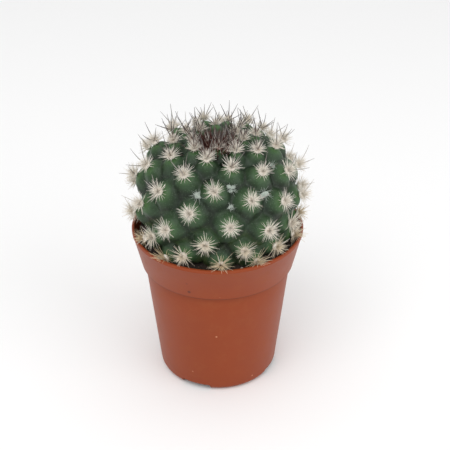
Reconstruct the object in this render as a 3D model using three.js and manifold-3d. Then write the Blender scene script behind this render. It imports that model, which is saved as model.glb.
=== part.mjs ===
// A round cactus in its small tapered plastic pot.
// Millimetres, +Z up. The origin is the centre of the pot's underside, and the front is towards -Y.

import * as THREE from "three";
import { mergeVertices } from "three/addons/utils/BufferGeometryUtils.js";
import Module from "manifold-3d";

const wasm = await Module();
wasm.setup();

// ---------------------------------------------------------------- driving dimensions

const pot = {
  rimDiameter: 55, // outside, at the very top
  baseDiameter: 39.6,
  height: 53.4,
  wall: 0.9,
  floor: 1.0,
  collarHeight: 12.5, // the wider band under the rim
  neckDiameter: 47.5, // outside of the tapered body, just under the collar
  collarStep: 1.1, // how far the collar stands out from the body
  lipHeight: 1.2, // the fine bead round the top edge
  lipStep: 0.15,
  footRadius: 2.4, // rounding between wall and underside
  notchCount: 4, // drain notches in the bottom edge
  notchWidth: 10,
  notchHeight: 2.2,
  notchReach: 5.5, // how far each notch runs in from the edge
  notchTurn: -22, // degrees from the front to the first notch
};

const soil = {
  drop: 2.4, // from the rim down to the soil
  crown: 0.5, // how much higher the soil stands at the stem than at the wall
  wallGap: 0.3,
  stemGap: 0.3,
};

const stem = {
  rimGap: 0.8, // from the tubercle tips to the inside of the rim
  rise: 25.6, // from the rim up to the sunken crown
  shoulderRise: 29.3, // from the rim up to the ring of tips round the crown
  girthRise: 12, // from the rim up to the widest level
  buried: 15, // from the rim down to the stem's foot
  crownRadius: 8.5, // of the ring of tips round the crown
  leanRight: 0.1, // sideways shift of the crown against the rim
  leanBack: 1.6,
};

const tubercle = {
  levels: 40, // pairs of opposite tubercles, from the crown down to the pot's rim
  youngest: 7.6, // along the surface, from the crown's middle to the youngest pair
  levelStep: 1.36, // along the surface, from each pair to the next older one
  youngSqueeze: 0.55, // share of that step that is missing at the crown
  youngReach: 4, // levels over which it grows to its full length
  oldSqueeze: 0.85, // share of that step that is missing at the rim, where the pot holds them
  oldReach: 7, // levels over which it shrinks
  firstTurn: 45.9, // degrees from the front to one of the youngest pair
  levelTurn: 68.8, // degrees from each pair to the next older one: half a golden angle
  skew: -0.85, // how much further from the crown they are on the right
  height: 4.6, // from the stem's body to the tip
  crownHeight: 2.6, // the youngest ones are shorter
  heightReach: 9.5, // along the surface, how far the shorter ones reach
  tipRadius: 1.35, // the flat on which the areole sits
  upturn: 0.2, // how much the tips turn upwards
  sides: 7,
};

const areole = {
  seat: 0.3, // clearance between the areole and its tubercle
  radius: 1.5,
  thickness: 0.9,
  spines: 8,
  spineLength: 4.7,
  spineRadius: 0.3,
  spineLift: 22, // degrees that the spines rise from the tubercle's tip
  spineShare: 0.43, // a spine's longest reach, as part of the way to the nearest areole
  separate: 56, // the youngest are pieces of their own; the older ones are in one with the stem
  root: 0.6, // how deep those older ones reach into their tubercles
};

const crownTuft = {
  radius: 3.4,
  spines: 20,
  spineLength: 8,
  spineRadius: 0.35,
  spread: 22, // degrees from upright that the outermost spines lean
  reach: 5, // other spines stay further than this from the crown's middle
};

const material = (color, roughness) =>
  new THREE.MeshStandardMaterial({ color, roughness, metalness: 0 });
const finish = {
  terracotta: material("#9a4c33", 0.5),
  peat: material("#3b302a", 1),
  skin: material("#3a6444", 0.6),
  spines: material("#ddd4c6", 0.7),
  darkSpines: material("#3a2320", 0.6),
};

// ---------------------------------------------------------------- small helpers

const up = new THREE.Vector3(0, 0, 1);
const radians = THREE.MathUtils.degToRad;

// A closed three.js geometry as a manifold solid; its flat triangles at poles are dropped.
function solid(geometry, matrix) {
  const bare = geometry.clone();
  bare.deleteAttribute("normal");
  bare.deleteAttribute("uv");
  if (matrix) bare.applyMatrix4(matrix);
  const merged = mergeVertices(bare, 1e-4);
  const corners = [];
  for (let i = 0; i < merged.index.count; i += 3) {
    const [a, b, c] = [0, 1, 2].map((j) => merged.index.getX(i + j));
    if (a !== b && b !== c && c !== a) corners.push(a, b, c);
  }
  return new wasm.Manifold(
    new wasm.Mesh({
      numProp: 3,
      vertProperties: new Float32Array(merged.attributes.position.array),
      triVerts: new Uint32Array(corners),
    }),
  );
}

// A manifold solid as a three.js geometry.
function geometryOf(body) {
  const { numProp, vertProperties, triVerts } = body.getMesh();
  const points = [];
  for (let i = 0; i < vertProperties.length; i += numProp) {
    points.push(...vertProperties.slice(i, i + 3));
  }
  const geometry = new THREE.BufferGeometry();
  geometry.setAttribute("position", new THREE.Float32BufferAttribute(points, 3));
  geometry.setIndex([...triVerts]);
  geometry.computeVertexNormals();
  return geometry;
}

// A profile of [radius, height] pairs turned round the Z axis.
function turned(profile, segments) {
  const points = profile.map(([r, z]) => new THREE.Vector2(r, z));
  return new THREE.LatheGeometry(points, segments).rotateX(Math.PI / 2);
}

// The matrix that puts a shape made round +Z at a place, with +Z along an axis.
function stood(place, axis) {
  const turn = new THREE.Quaternion().setFromUnitVectors(up, axis);
  return new THREE.Matrix4().compose(place, turn, new THREE.Vector3(1, 1, 1));
}

const unite = (bodies) => bodies.reduce((whole, body) => whole.add(body));

// ---------------------------------------------------------------- pot

const rimRadius = pot.rimDiameter / 2;
const baseRadius = pot.baseDiameter / 2;
const neckRadius = pot.neckDiameter / 2;
const neckZ = pot.height - pot.collarHeight;
const collarRadius = neckRadius + pot.collarStep;

// The inside radius of the pot at a height: the outside less the wall, body and collar alike.
function insideRadius(z) {
  const [low, high] = z < neckZ ? [baseRadius, neckRadius] : [neckRadius, rimRadius];
  const share = z < neckZ ? z / neckZ : (z - neckZ) / pot.collarHeight;
  return THREE.MathUtils.lerp(low, high, share) - pot.wall;
}

function makePot() {
  const edge = 0.3; // rounding of the top edge
  const profile = [[0, 0]];
  for (const turn of [0, 30, 60, 90]) {
    const a = radians(turn);
    const r = baseRadius - pot.footRadius * (1 - Math.sin(a));
    profile.push([r, pot.footRadius * (1 - Math.cos(a))]);
  }
  profile.push(
    [neckRadius, neckZ],
    [collarRadius, neckZ + pot.collarStep / 2],
    [rimRadius - pot.lipStep, pot.height - pot.lipHeight - pot.lipStep],
    [rimRadius, pot.height - pot.lipHeight],
    [rimRadius, pot.height - edge],
    [rimRadius - edge, pot.height],
    [rimRadius - pot.wall + edge, pot.height],
    [insideRadius(pot.height), pot.height - edge],
    [insideRadius(neckZ), neckZ],
    [insideRadius(pot.floor + 1), pot.floor + 1],
    [insideRadius(pot.floor) - 1, pot.floor],
    [0, pot.floor],
  );
  let body = solid(turned(profile, 60));
  for (let i = 0; i < pot.notchCount; i++) {
    const box = new THREE.BoxGeometry(pot.notchWidth, 2 * pot.notchReach, 2 * pot.notchHeight);
    const turn = radians(pot.notchTurn + (360 / pot.notchCount) * i);
    const place = new THREE.Matrix4()
      .makeRotationZ(turn)
      .multiply(new THREE.Matrix4().makeTranslation(0, -baseRadius, 0));
    body = body.subtract(solid(box, place));
  }
  return body;
}

// ---------------------------------------------------------------- shape of the stem

const stemRadius = insideRadius(pot.height) - stem.rimGap;
const girthZ = pot.height + stem.girthRise;
const crownZ = pot.height + stem.rise;
const shoulderZ = pot.height + stem.shoulderRise;
const soilZ = pot.height - soil.drop;
const footZ = pot.height - stem.buried;

// The smooth surface through the tips, from the crown down to the foot: [radius, height].
const tipCurve = new THREE.SplineCurve(
  [
    [0, crownZ],
    [stem.crownRadius, shoulderZ],
    [stemRadius * 0.72, shoulderZ - 2.8],
    [stemRadius * 0.91, THREE.MathUtils.lerp(girthZ, shoulderZ, 0.5)],
    [stemRadius, girthZ],
    [stemRadius * 0.96, pot.height],
    [stemRadius * 0.76, THREE.MathUtils.lerp(pot.height, footZ, 0.65)],
    [stemRadius * 0.4, footZ],
  ].map(([r, z]) => new THREE.Vector2(r, z)),
);

// The crown stands a little back from the foot, so everything of the stem is leant by its height.
function leant(r, turn, z) {
  const share = (z - pot.height) / stem.shoulderRise;
  return new THREE.Vector3(
    r * Math.sin(turn) + stem.leanRight * share,
    -r * Math.cos(turn) + stem.leanBack * share,
    z,
  );
}

// How far along the surface a level of tubercles is from the crown's middle.
function reachOf(level) {
  const { youngest, levelStep, youngSqueeze, youngReach, oldSqueeze, oldReach, levels } = tubercle;
  const youngLoss = youngSqueeze * youngReach * (1 - Math.exp(-level / youngReach));
  const oldLoss = oldSqueeze * oldReach * Math.exp((level - levels + 1) / oldReach);
  return youngest + levelStep * (level - youngLoss - oldLoss);
}

// The places of the tubercles, from the crown down. They grow in opposite pairs, each pair turned
// by half a golden angle from the one before, which makes twin spirals.
function tubercles() {
  const length = tipCurve.getLength();
  const places = [];
  for (let level = 0; level < tubercle.levels; level++) {
    for (const side of [0, 180]) {
      const turn = radians(tubercle.firstTurn + tubercle.levelTurn * level + side);
      const s = reachOf(level) + tubercle.skew * Math.sin(turn);
      const { x: r, y: z } = tipCurve.getPointAt(s / length);
      const slope = tipCurve.getTangentAt(s / length);
      const outward = new THREE.Vector3(
        -slope.y * Math.sin(turn),
        slope.y * Math.cos(turn),
        slope.x,
      );
      places.push({
        tip: leant(r, turn, z),
        axis: outward.addScaledVector(up, tubercle.upturn).normalize(),
        height: heightAt(s),
      });
    }
  }
  for (const place of places) {
    const gaps = places.map(({ tip }) => tip.distanceTo(place.tip)).sort((a, b) => a - b);
    place.nearest = gaps[1];
    place.spacing = (gaps[1] + gaps[2] + gaps[3] + gaps[4]) / 4;
  }
  return places;
}

const tubercleList = tubercles();

// A tubercle's height above the stem's body, at a distance along the surface from the crown.
function heightAt(s) {
  const young = Math.exp(-s / tubercle.heightReach);
  return THREE.MathUtils.lerp(tubercle.height, tubercle.crownHeight, young);
}

// The profile of the stem's body under its tubercles, from the crown down.
function bodyCurve(grow) {
  return tipCurve.getSpacedPoints(18).map(({ x: r, y: z }, i, all) => {
    const before = all[Math.max(i - 1, 0)];
    const after = all[Math.min(i + 1, all.length - 1)];
    const slope = after.clone().sub(before).normalize();
    const depth = heightAt((tipCurve.getLength() * i) / (all.length - 1)) - grow;
    return [Math.max(r + slope.y * depth, 0), z - slope.x * depth];
  });
}

// The stem as one solid: a smooth body with every tubercle grown on it, all larger by grow.
function makeStem(grow) {
  const profile = bodyCurve(grow).filter(([r]) => r > 0.6);
  const [[, topZ]] = profile;
  const [, bottomZ] = profile.at(-1);
  const closed = [[0, topZ], ...profile, [0, bottomZ]].reverse();
  const body = turned(closed, 24);
  const lean = new THREE.Matrix4().set(
    1, 0, stem.leanRight / stem.shoulderRise, (-stem.leanRight * pot.height) / stem.shoulderRise,
    0, 1, stem.leanBack / stem.shoulderRise, (-stem.leanBack * pot.height) / stem.shoulderRise,
    0, 0, 1, 0,
    0, 0, 0, 1,
  );
  const bodies = [solid(body, lean)];
  const top = grow && grow + areole.thickness; // with room for the areole too
  for (const { tip, axis, spacing, height } of tubercleList) {
    const shape = turned(
      [
        [0, -height - 1.5],
        [spacing * 0.5 + grow, -height - 1.5],
        [spacing * 0.36 + grow, -height * 0.33],
        [tubercle.tipRadius + grow, top],
        [0, top],
      ],
      tubercle.sides,
    );
    bodies.push(solid(shape, stood(tip, axis)));
  }
  if (!grow) {
    const older = tubercleList.slice(areole.separate);
    older.forEach((place, i) => bodies.push(makeAreole(place, i, 0, areole.root)));
  }
  return unite(bodies).subtract(makeCrownHollow());
}

// Where the crown's own spines sit, with clearance all round them.
function makeCrownHollow() {
  const depth = stem.shoulderRise - stem.rise + tubercle.crownHeight;
  const radius = crownTuft.radius + areole.seat;
  const cylinder = new THREE.CylinderGeometry(radius, radius, depth, 12).rotateX(Math.PI / 2);
  return solid(cylinder, stood(leant(0, 0, crownZ - tubercle.crownHeight + depth / 2), up));
}

// ---------------------------------------------------------------- soil

function makeSoil() {
  const bottom = pot.floor + soil.wallGap;
  const r = (z) => insideRadius(z) - soil.wallGap;
  const profile = [
    [0, bottom],
    [r(bottom) - 1, bottom],
    [r(bottom + 1), bottom + 1],
    [r(neckZ), neckZ],
    [r(soilZ) - 0.2, soilZ],
    [stemRadius * 0.85, soilZ + soil.crown],
    [0, soilZ + soil.crown],
  ];
  return solid(turned(profile, 36)).subtract(makeStem(soil.stemGap));
}

// ---------------------------------------------------------------- areoles and their spines

// Moves a spine's point clear of the soil, of the pot's wall and rim, and of the crown's spines.
function clear(point) {
  const margin = 0.6;
  const centre = leant(0, 0, point.z);
  const away = Math.hypot(point.x - centre.x, point.y - centre.y);
  const keep = crownTuft.reach + margin;
  if (away < keep) {
    point.x = centre.x + ((point.x - centre.x) * keep) / away;
    point.y = centre.y + ((point.y - centre.y) * keep) / away;
  }
  point.z = Math.max(point.z, soilZ + soil.crown + margin);
  const r = Math.hypot(point.x, point.y);
  const inside = insideRadius(Math.min(point.z, pot.height)) - margin;
  if (r > inside && point.z < pot.height + margin) {
    point.x *= inside / r;
    point.y *= inside / r;
  }
  return point;
}

// One spine from a root to a point.
function spine(root, point, radius) {
  const along = point.clone().sub(root);
  const cone = new THREE.ConeGeometry(radius, along.length(), 3).rotateX(Math.PI / 2);
  const middle = root.clone().addScaledVector(along, 0.5);
  return solid(cone, stood(middle, along.clone().normalize()));
}

// A woolly pad over a tubercle's tip with spines spread like a star. It stands off the tip by gap,
// or has a root in it.
function makeAreole({ tip, axis, nearest }, index, gap, root = 0) {
  const { radius, thickness, spines } = areole;
  const seat = tip.clone().addScaledVector(axis, gap);
  const pad = turned(
    [
      [0, -root],
      [radius * 0.8, -root],
      [radius * 0.8, 0],
      [radius, thickness * 0.5],
      [radius * 0.5, thickness],
      [0, thickness],
    ],
    6,
  );
  const frame = stood(seat, axis);
  const bodies = [solid(pad, frame)];
  const reach = Math.min(areole.spineLength, nearest * areole.spineShare);
  const lift = radians(areole.spineLift);
  for (let i = 0; i < spines; i++) {
    const turn = ((i + (index % 2) / 2) / spines) * 2 * Math.PI;
    const [x, y] = [Math.cos(turn), Math.sin(turn)];
    const rootZ = thickness * 0.5;
    const foot = new THREE.Vector3(x * radius * 0.4, y * radius * 0.4, rootZ);
    const flat = reach * Math.cos(lift);
    const point = new THREE.Vector3(x * flat, y * flat, rootZ + reach * Math.sin(lift));
    bodies.push(
      spine(foot.applyMatrix4(frame), clear(point.applyMatrix4(frame)), areole.spineRadius),
    );
  }
  return unite(bodies);
}

// The youngest growth: dark spines that stand up from the sunken crown.
function makeCrownTuft() {
  const { radius, spines, spineLength, spineRadius, spread } = crownTuft;
  const seat = leant(0, 0, crownZ - tubercle.crownHeight + areole.seat);
  const dome = turned(
    [
      [0, 0],
      [radius, 0],
      [radius * 0.9, radius * 0.6],
      [radius * 0.4, radius],
      [0, radius],
    ],
    8,
  );
  const frame = stood(seat, up);
  const bodies = [solid(dome, frame)];
  for (let i = 0; i < spines; i++) {
    const turn = radians(2 * tubercle.levelTurn * i);
    const leaning = radians((spread * i) / (spines - 1));
    const side = new THREE.Vector3(Math.cos(turn), Math.sin(turn), 0);
    const root = side.clone().multiplyScalar(radius * 0.5 * Math.sqrt(i / spines));
    root.z = radius * 0.5;
    const point = root.clone().addScaledVector(side, spineLength * Math.sin(leaning));
    point.z += spineLength * Math.cos(leaning);
    bodies.push(spine(root.applyMatrix4(frame), point.applyMatrix4(frame), spineRadius));
  }
  return unite(bodies);
}

// ---------------------------------------------------------------- the whole plant

const group = new THREE.Group();

function addMesh(name, body, look) {
  const mesh = new THREE.Mesh(geometryOf(body), look);
  mesh.name = name;
  group.add(mesh);
}

addMesh("pot", makePot(), finish.terracotta);
addMesh("soil", makeSoil(), finish.peat);
addMesh("stem", makeStem(0), finish.skin);
addMesh("crown_spines", makeCrownTuft(), finish.darkSpines);
tubercleList.slice(0, areole.separate).forEach((place, index) => {
  const number = String(index + 1).padStart(2, "0");
  addMesh(`spine_cluster_${number}`, makeAreole(place, index, areole.seat), finish.spines);
});

export default group;
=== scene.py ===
"""A round cactus in its small plastic pot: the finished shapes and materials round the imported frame."""

import math
import random

import bpy
import numpy as np
from bpy.props import FloatProperty, FloatVectorProperty, IntProperty, PointerProperty
from mathutils import Matrix, Vector, noise
from mathutils.kdtree import KDTree


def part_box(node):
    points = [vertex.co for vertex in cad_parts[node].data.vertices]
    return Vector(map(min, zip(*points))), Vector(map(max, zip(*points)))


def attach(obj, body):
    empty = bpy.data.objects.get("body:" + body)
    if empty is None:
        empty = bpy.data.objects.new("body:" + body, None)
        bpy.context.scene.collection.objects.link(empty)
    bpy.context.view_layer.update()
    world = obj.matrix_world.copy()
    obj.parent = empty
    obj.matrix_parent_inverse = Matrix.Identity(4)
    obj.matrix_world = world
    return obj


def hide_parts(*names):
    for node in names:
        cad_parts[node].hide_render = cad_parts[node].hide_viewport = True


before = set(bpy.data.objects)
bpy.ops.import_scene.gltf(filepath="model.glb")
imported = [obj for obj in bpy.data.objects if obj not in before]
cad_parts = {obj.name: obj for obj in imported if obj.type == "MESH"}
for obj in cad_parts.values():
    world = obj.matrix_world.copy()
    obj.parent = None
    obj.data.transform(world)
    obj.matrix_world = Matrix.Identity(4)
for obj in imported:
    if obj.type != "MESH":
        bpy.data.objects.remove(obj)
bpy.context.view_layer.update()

bl_info = {
    "name": "Potted Round Cactus",
    "version": (1, 0, 0),
    "blender": (4, 5, 0),
    "location": "View3D > Sidebar > Cactus",
    "description": "Models a round cactus with its spines, soil and pot round a fixed frame",
    "category": "Add Mesh",
}

MM = 0.001
CLUSTERS = sorted(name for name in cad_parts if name.startswith("spine_cluster_"))
POT_LOW, POT_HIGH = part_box("pot")
STEM_LOW, STEM_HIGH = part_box("stem")
SOIL_LOW, SOIL_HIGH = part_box("soil")
GOLDEN_ANGLE = math.radians(137.5)


# ------------------------------------------------------------------ colours and small helpers


def linear(code):
    """A colour given as an sRGB hex code, as the linear colour that shaders take."""
    parts = [int(code[i : i + 2], 16) / 255 for i in (1, 3, 5)]
    return tuple(c / 12.92 if c <= 0.04045 else ((c + 0.055) / 1.055) ** 2.4 for c in parts)


def colour_property(name, code, description):
    return FloatVectorProperty(
        name=name, description=description, subtype="COLOR", size=3, min=0, max=1, default=linear(code)
    )


def length_property(name, millimetres, description):
    return FloatProperty(
        name=name, description=description, default=millimetres * MM, min=0, unit="LENGTH", precision=5
    )


def mixed(one, other, share):
    return tuple(a + (b - a) * share for a, b in zip(one, other))


def smooth(low, high, value):
    share = min(max((value - low) / (high - low), 0), 1)
    return share * share * (3 - 2 * share)


def select_only(*pieces):
    if bpy.context.object and bpy.context.object.mode != "OBJECT":
        bpy.ops.object.mode_set(mode="OBJECT")
    bpy.ops.object.select_all(action="DESELECT")
    for piece in pieces:
        piece.select_set(True)
        bpy.context.view_layer.objects.active = piece


def edit(piece, mode="VERT"):
    """Opens a piece in edit mode with nothing selected."""
    select_only(piece)
    bpy.ops.object.mode_set(mode="EDIT")
    bpy.ops.mesh.select_mode(type=mode)
    bpy.ops.mesh.select_all(action="DESELECT")


def pick(piece, kind, test):
    """Selects the vertices, edges or faces of a piece in edit mode that pass a test."""
    bpy.ops.object.mode_set(mode="OBJECT")
    for part in getattr(piece.data, kind):
        part.select = test(part)
    bpy.ops.object.mode_set(mode="EDIT")


def apply_modifier(piece, kind, **settings):
    select_only(piece)
    modifier = piece.modifiers.new(kind.title(), kind)
    for key, value in settings.items():
        setattr(modifier, key, value)
    bpy.ops.object.modifier_apply(modifier=modifier.name)


def settle(piece):
    """Moves a piece's place, turn and size into its mesh."""
    select_only(piece)
    bpy.ops.object.transform_apply(location=True, rotation=True, scale=True)


def finish_piece(piece, name, material, replaced=()):
    settle(piece)
    piece.name = name
    piece.data.name = name
    piece.data.materials.clear()
    piece.data.materials.append(material)
    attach(piece, "root")
    if replaced:
        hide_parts(*replaced)


def points_of(mesh):
    flat = np.empty(len(mesh.vertices) * 3)
    mesh.vertices.foreach_get("co", flat)
    return flat.reshape(-1, 3)


def faces_of(mesh):
    return [tuple(face.vertices) for face in mesh.polygons]


def remove(piece):
    mesh = piece.data
    bpy.data.objects.remove(piece)
    bpy.data.meshes.remove(mesh)


def taken(piece):
    """The points and faces of a piece, which is then removed."""
    shape = points_of(piece.data), faces_of(piece.data)
    remove(piece)
    return shape


def turned(rings, vertices):
    """Draws up a closed round piece ring by ring, from the radius and height of each ring."""
    (radius, z), *others = rings
    select_only()
    bpy.ops.mesh.primitive_circle_add(vertices=vertices, radius=radius, fill_type="NOTHING")
    piece = bpy.context.object
    piece.location.z = z
    settle(piece)
    edit(piece)
    bpy.ops.mesh.select_all(action="SELECT")
    for next_radius, next_z in others:
        bpy.ops.mesh.extrude_region_move(TRANSFORM_OT_translate={"value": (0, 0, next_z - z)})
        share = next_radius / radius
        bpy.ops.transform.resize(value=(share, share, 1), center_override=(0, 0, 0))
        radius, z = next_radius, next_z
    bpy.ops.mesh.select_all(action="SELECT")
    bpy.ops.mesh.fill_holes(sides=0)
    bpy.ops.mesh.normals_make_consistent(inside=False)
    bpy.ops.object.mode_set(mode="OBJECT")
    return piece


class Gathering:
    """Many copies of modelled shapes, gathered into one mesh with a colour at each vertex."""

    def __init__(self):
        self.points, self.faces, self.colours, self.count = [], [], [], 0

    def add(self, points, faces, colours):
        self.points.append(points)
        self.faces += [tuple(self.count + i for i in face) for face in faces]
        self.colours.append(colours)
        self.count += len(points)

    def build(self, name):
        mesh = bpy.data.meshes.new(name)
        mesh.from_pydata(np.concatenate(self.points).tolist(), [], self.faces)
        tint = mesh.color_attributes.new("tint", "FLOAT_COLOR", "POINT")
        rgb = np.concatenate(self.colours)
        tint.data.foreach_set("color", np.column_stack([rgb, np.ones(len(rgb))]).ravel())
        mesh.update()
        mesh.shade_smooth()
        piece = bpy.data.objects.new(name, mesh)
        bpy.context.scene.collection.objects.link(piece)
        return piece


def unique_points(node_name):
    """The corners of a CAD node, each once."""
    corners = points_of(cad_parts[node_name].data)
    return np.unique(corners.round(6), axis=0)


# The twin spirals: the number of pairs of areoles, and how far each is below the pair before it.
LEVELS = 40
LEVEL_STEP = 1.36 * MM
# The pot squeezes about this many of the lowest pairs together, by this much in all.
SQUEEZED_LEVELS = 7
SQUEEZE = LEVEL_STEP * 0.85 * SQUEEZED_LEVELS
# How far the first pair is turned from the front, and each pair from the one before, in degrees.
FIRST_TURN = 45.9
LEVEL_TURN = 68.8
# How much lower the plant's right side is than its middle: it is the higher side.
SKEW = -0.85 * MM
# The widest radius through the areoles, and its height over the rim.
GIRTH_RADIUS = 25.8 * MM
GIRTH_RISE = 12 * MM
# The crown's height over the rim, and how far back the stem leans by then.
CROWN_RISE = 27 * MM
CROWN_BACK = 1.4 * MM
# All the corners of an areole's CAD pad are nearer to its middle than this.
PAD_REACH = 1.75 * MM


class Areole:
    """Where a spine cluster sits: its place, the way it looks, and its age from 0 to 1."""

    def __init__(self, place, axis, age=0.0, node=None):
        self.node = node
        self.place = place
        self.axis = axis.normalized()
        self.age = age
        self.up = (Vector((0, 0, 1)) - self.axis * self.axis.z).normalized()
        self.side = self.up.cross(self.axis)

    def frame(self, scale=1.0):
        """Turns a shape whose Z is outwards and whose Y is upwards to sit here."""
        turn = Matrix((self.side, self.up, self.axis)).transposed().to_4x4()
        return Matrix.Translation(self.place) @ turn @ Matrix.Scale(scale, 4)


def areole_of_node(name):
    """Finds an areole from its CAD node: the pad is the dense middle of the node's corners."""
    corners = unique_points(name)
    place = np.median(corners, axis=0)
    for _ in range(3):
        near = corners[np.linalg.norm(corners - place, axis=1) < PAD_REACH]
        place = near.mean(axis=0)
    axis = np.linalg.svd(near - place)[2][2]
    middle = np.array([0, 0, STEM_LOW.z * 0.4 + STEM_HIGH.z * 0.6])
    if np.dot(axis, place - middle) < 0:
        axis = -axis
    return Areole(Vector(place), Vector(axis), node=name)


def older_areoles(found, levels):
    """Carries the twin spirals on down to the rim, where the pot squeezes the pairs together. Their
    CAD shapes are in one with the stem."""
    added = []
    last = len(found) // 2 - 1
    lowest = sum((areole.place.z for areole in found[-2:]), 0.0) / 2
    for level in range(last + 1, levels):
        drop = LEVEL_STEP * (level - last) - SQUEEZE * (rim_squeeze(level) - rim_squeeze(last))
        for side in (0, 1):
            turn = math.radians(FIRST_TURN + LEVEL_TURN * level + 180 * side)
            z = lowest - drop - SKEW * math.sin(turn)
            low = max(POT_HIGH.z + GIRTH_RISE - z, 0) / GIRTH_RISE
            radius = GIRTH_RADIUS - 1.05 * MM * low**2
            lean = CROWN_BACK * (z - POT_HIGH.z) / CROWN_RISE
            outward = Vector((math.sin(turn), -math.cos(turn), 0))
            axis = outward + Vector((0, 0, 0.2 - 0.16 * low))
            added.append(Areole(outward * radius + Vector((0, lean, z)), axis))
    return added


def rim_squeeze(level):
    return math.exp((level - LEVELS + 1) / SQUEEZED_LEVELS)


NODE_AREOLES = [areole_of_node(name) for name in CLUSTERS]
AREOLES = NODE_AREOLES + older_areoles(NODE_AREOLES, LEVELS)
for index, areole in enumerate(AREOLES):
    areole.age = index / (len(AREOLES) - 1)
    gaps = sorted((areole.place - other.place).length for other in AREOLES if other is not areole)
    areole.spacing = sum(gaps[:4]) / 4
    areole.crowding = min(1, areole.spacing / (8.5 * MM))
# The hollows that have wool in them: the three areoles round each, and the size of its tuft.
WOOLLY = (
    ((20, 30, 37), 2.4 * MM),
    ((25, 30, 40), 2.6 * MM),
    ((27, 37, 42), 3.2 * MM),
    ((30, 37, 47), 1.5 * MM),
    ((22, 27, 32), 1.7 * MM),
)
WOOL_LUMPS = 5
WOOL_HAIRS = 50
# The middle of the dark brush, which the plant has pushed up a little in front of its crown.
BRUSH = Vector((-0.5, -2.8, 0)) * MM
# The woolly dome that its spines stand on: its height over their CAD shapes' feet, and its size.
BRUSH_RISE = 3.6 * MM
BRUSH_RADIUS = 6.3 * MM
BRUSH_DOME = 4.4 * MM


# ------------------------------------------------------------------ sizes and colours to change


class PotSettings(bpy.types.PropertyGroup):
    wall: length_property("Wall", 0.9, "Thickness of the pot's wall")
    collar_height: length_property("Collar height", 12.5, "Height of the wider band under the rim")
    collar_step: length_property("Collar step", 1.1, "How far the collar stands out from the body")
    neck_radius: length_property("Neck radius", 23.75, "Radius of the body just under the collar")
    foot_radius: length_property("Foot radius", 19.8, "Radius of the foot, before its rounded edge")
    foot_round: length_property("Foot rounding", 2.4, "Rounding between wall and underside")
    bead_height: length_property("Bead height", 1.2, "Height of the fine bead round the rim")
    notch_width: length_property("Notch width", 10, "Width of each drain notch")
    notch_height: length_property("Notch height", 2.2, "Height of each drain notch")
    notch_reach: length_property("Notch reach", 5.5, "How far each drain notch runs in")
    colour: colour_property("Plastic", "#8B3C18", "Colour of the moulded plastic")
    dust: colour_property("Dust", "#985A32", "Colour of the dusty film on the plastic")


class StemSettings(bpy.types.PropertyGroup):
    tubercle_width: FloatProperty(
        name="Tubercle width", description="Width against the spacing", default=1.2, min=0.5
    )
    tubercle_height: length_property("Tubercle height", 5.8, "Height of a tubercle from its root")
    grain: length_property("Grain", 0.38, "Size of the cells that the skin is made of")
    skin: colour_property("Skin", "#2F462B", "Colour of the skin on a tubercle's sides")
    # The tip colour is a painted highlight: each tubercle's tip is painted lighter than its sides.
    tip: colour_property("Tip", "#4D6F42", "Colour of the youngest skin, at a tubercle's tip")
    # The axil colour is painted shade: the hollows between tubercles are painted nearly black.
    axil: colour_property("Axil", "#141C12", "Colour of the skin between tubercles")
    bloom: colour_property("Bloom", "#506354", "Colour of the waxy bloom")


class SpineSettings(bpy.types.PropertyGroup):
    radials: IntProperty(
        name="Radial spines", description="White spines in the lowest ring of a star", default=30, min=3
    )
    radial_length: length_property("Radial length", 3.3, "Length of a radial spine")
    radial_width: length_property("Radial width", 0.21, "Width of a radial spine at its root")
    centrals: IntProperty(name="Central spines", description="Dark spines of a young star", default=4)
    central_length: length_property("Central length", 8, "Length of a central spine")
    central_width: length_property("Central width", 0.42, "Width of a central spine at its root")
    crown_count: IntProperty(name="Crown spines", description="Dark spines of the crown", default=360)
    pad_radius: length_property("Pad radius", 1.2, "Radius of the woolly pad of an areole")
    white: colour_property("White", "#F4EEE3", "Colour of a radial spine")
    root: colour_property("Root", "#E8DACB", "Colour of a spine at its root")
    yellow: colour_property("Yellow", "#DCC08A", "Colour of the oldest spines")
    dark: colour_property("Dark", "#261616", "Colour of a young central spine")
    red: colour_property("Red", "#8A4534", "Colour of a crown spine's root")


class SoilSettings(bpy.types.PropertyGroup):
    crumbs: IntProperty(name="Crumbs", description="Loose crumbs of peat", default=900, min=0)
    grains: IntProperty(name="Grit", description="White grains of grit", default=22, min=0)
    crumb_size: length_property("Crumb size", 0.9, "Size of the largest crumbs")
    peat: colour_property("Peat", "#3A2E27", "Colour of the peat")
    grit: colour_property("Grit", "#D9D4CC", "Colour of the white grit")


class StageSettings(bpy.types.PropertyGroup):
    floor: colour_property("Floor", "#F8F8F8", "Colour of the floor")
    key_power: FloatProperty(name="Key light", description="Power of the main soft light", default=2.6)
    fill_power: FloatProperty(name="Fill light", description="Power of the fill light", default=1.2)
    sky: FloatProperty(name="Surround", description="Brightness of the white surround", default=0.8)


# ------------------------------------------------------------------ materials


def new_material(name):
    material = bpy.data.materials.new(name)
    material.use_nodes = True
    tree = material.node_tree
    tree.nodes.clear()
    return material, tree


def add_node(tree, kind, inputs=None, stops=(), **settings):
    """Adds one shader node with its settings, a value or a link for each named input, and the place
    and colour of each stop if it is a ramp."""
    node = tree.nodes.new(kind)
    for key, value in settings.items():
        setattr(node, key, value)
    for key, value in (inputs or {}).items():
        if isinstance(value, bpy.types.NodeSocket):
            tree.links.new(value, node.inputs[key])
        else:
            node.inputs[key].default_value = value
    if stops:
        elements = node.color_ramp.elements
        while len(elements) < len(stops):
            elements.new(0.5)
        for element, (position, colour) in zip(elements, stops):
            element.position = position
            element.color = colour
    return node


def rgba(colour):
    return (*colour, 1)


def grey(value):
    return (value, value, value, 1)


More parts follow.
